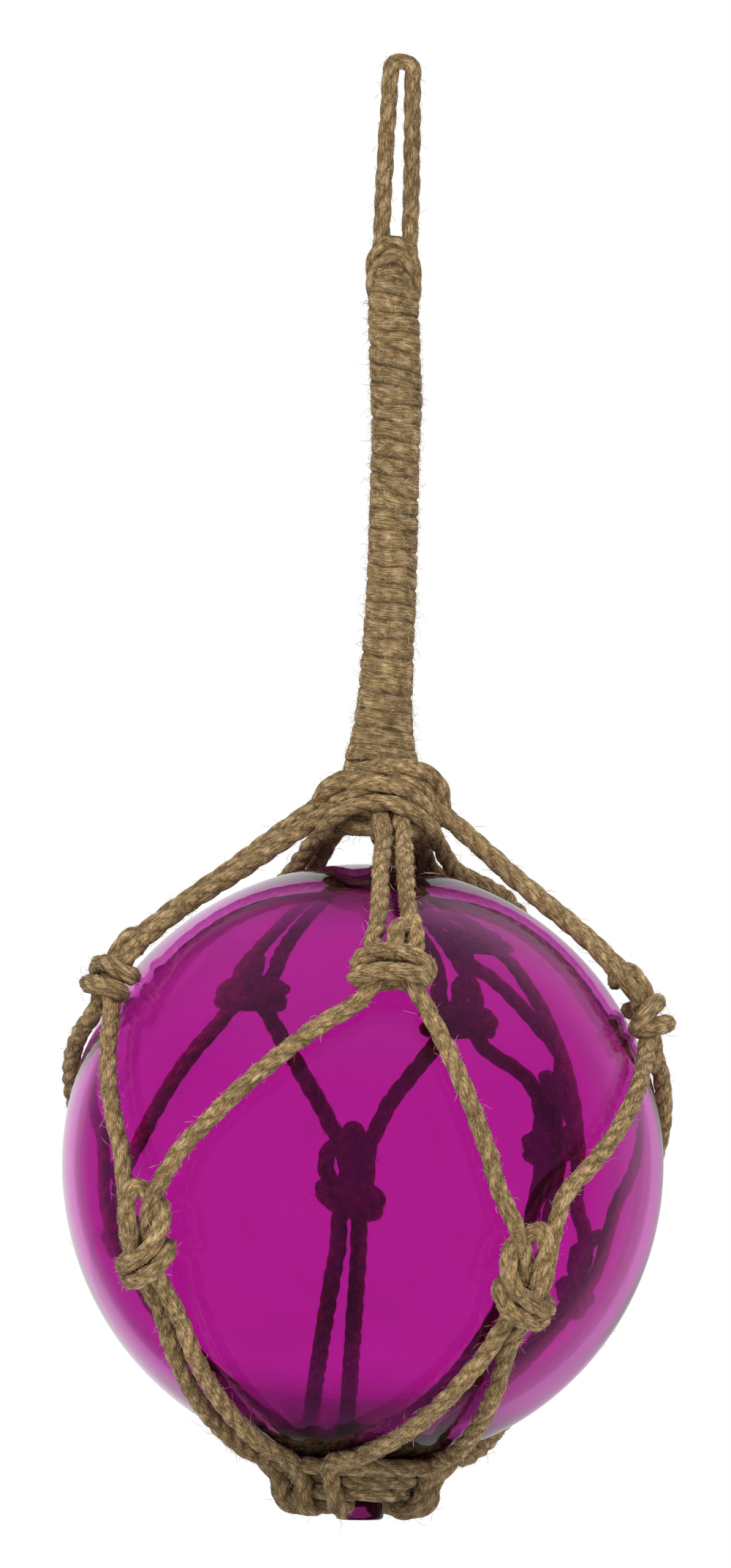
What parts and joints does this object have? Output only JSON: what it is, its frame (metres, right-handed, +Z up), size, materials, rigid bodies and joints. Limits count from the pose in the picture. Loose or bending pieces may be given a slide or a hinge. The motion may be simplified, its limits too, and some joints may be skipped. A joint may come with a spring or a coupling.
{
  "type": "glass float ball",
  "caption": "Coloured glass float ball in a knotted rope net, hung by a bound rope handle with a loop.",
  "frame": {"origin": "inner top of the hanging loop, where the hook bears", "axes": "+Z up along the plumb line through the ball, +X to the right seen from the front, -Y to the front"},
  "size_m": [0.2046, 0.2147, 0.4873],
  "materials": {
    "purple_glass": "polished, clear, evenly coloured purple",
    "jute_rope": "laid three-strand jute cord, dry and hairy"
  },
  "bodies": {
    "root": {"glass_ball": "purple_glass", "base_ring": "jute_rope", "net_cord_1": "jute_rope", "net_cord_2": "jute_rope", "net_cord_3": "jute_rope", "net_cord_4": "jute_rope", "net_cord_5": "jute_rope", "net_cord_6": "jute_rope", "crown_knot": "jute_rope", "handle_whipping": "jute_rope", "hanging_loop": "jute_rope"}
  },
  "joints": []
}
